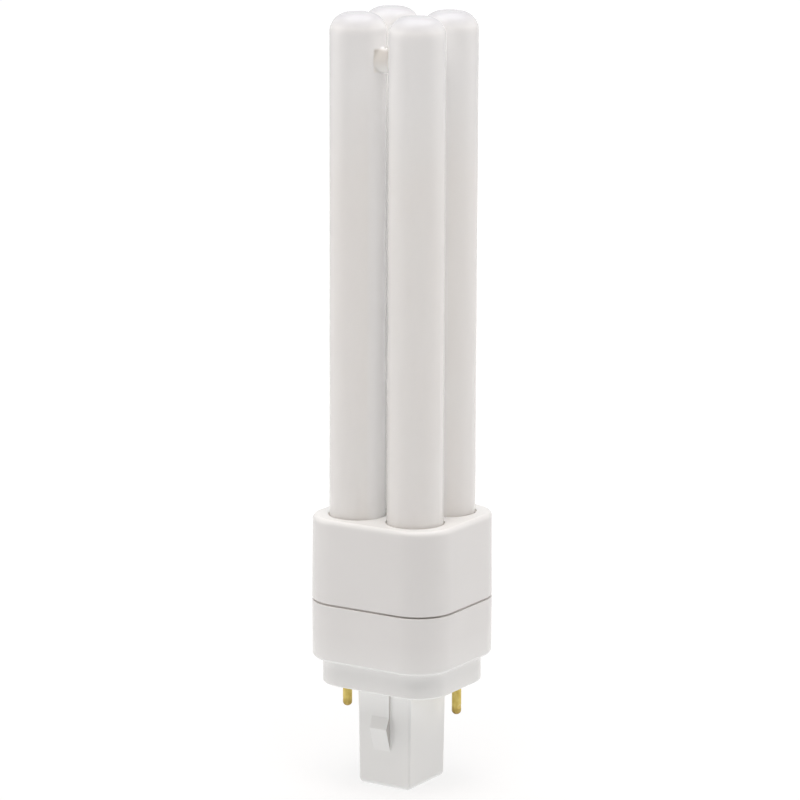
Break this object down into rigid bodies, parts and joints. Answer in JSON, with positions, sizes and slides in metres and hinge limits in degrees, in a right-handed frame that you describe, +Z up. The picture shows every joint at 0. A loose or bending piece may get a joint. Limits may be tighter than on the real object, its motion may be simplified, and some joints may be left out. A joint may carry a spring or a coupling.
{
  "type": "led plug-in lamp",
  "caption": "LED plug-in lamp: bridged frosted glass tubes in a white moulded housing with a stepped flange, brass contact pins and a latching plug post.",
  "frame": {"origin": "on the lamp's axis, in the flange face that seats on the lampholder", "axes": "+Z up along the tubes, away from the lampholder; +X towards the right contact pin's side"},
  "size_m": [0.033, 0.0304, 0.1642],
  "materials": {
    "frosted_glass": "milky inner coating under clear gloss",
    "housing_plastic": "white moulded, satin",
    "pin_brass": "turned, polished",
    "cement": "matt white sealant",
    "circuit_board": "glass-fibre laminate with green mask",
    "strip_metal": "white mask on metal core",
    "led_package": "white frame with yellow phosphor",
    "capacitor_sleeve": "shrunk sleeve on a can",
    "film_case": "moulded case",
    "varistor_coat": "dipped coating",
    "resistor_coat": "cement coating",
    "ferrite": "sintered, matt",
    "copper_winding": "enamelled wire",
    "black_moulding": "moulded",
    "chip_ceramic": "glazed"
  },
  "bodies": {
    "root": {"bridge_rectifier": "black_moulding", "bulk_capacitor": "capacitor_sleeve", "chip_resistors": "chip_ceramic", "driver_board": "circuit_board", "driver_chip": "black_moulding", "film_capacitor": "film_case", "front_left_led_strip": "strip_metal", "front_left_leds": "led_package", "front_right_led_strip": "strip_metal", "front_right_leds": "led_package", "front_tube_pair": "frosted_glass", "fuse_resistor": "resistor_coat", "header_body": "black_moulding", "header_pins": "pin_brass", "left_contact_pin": "pin_brass", "link_board": "circuit_board", "lower_housing": "housing_plastic", "output_capacitor": "capacitor_sleeve", "output_diode": "black_moulding", "rear_left_led_strip": "strip_metal", "rear_left_leds": "led_package", "rear_right_led_strip": "strip_metal", "rear_right_leds": "led_package", "rear_tube_pair": "frosted_glass", "right_contact_pin": "pin_brass", "transformer_bobbin": "black_moulding", "transformer_core": "ferrite", "transformer_winding": "copper_winding", "tube_cement": "cement", "upper_housing": "housing_plastic", "varistor": "varistor_coat"}
  },
  "joints": []
}
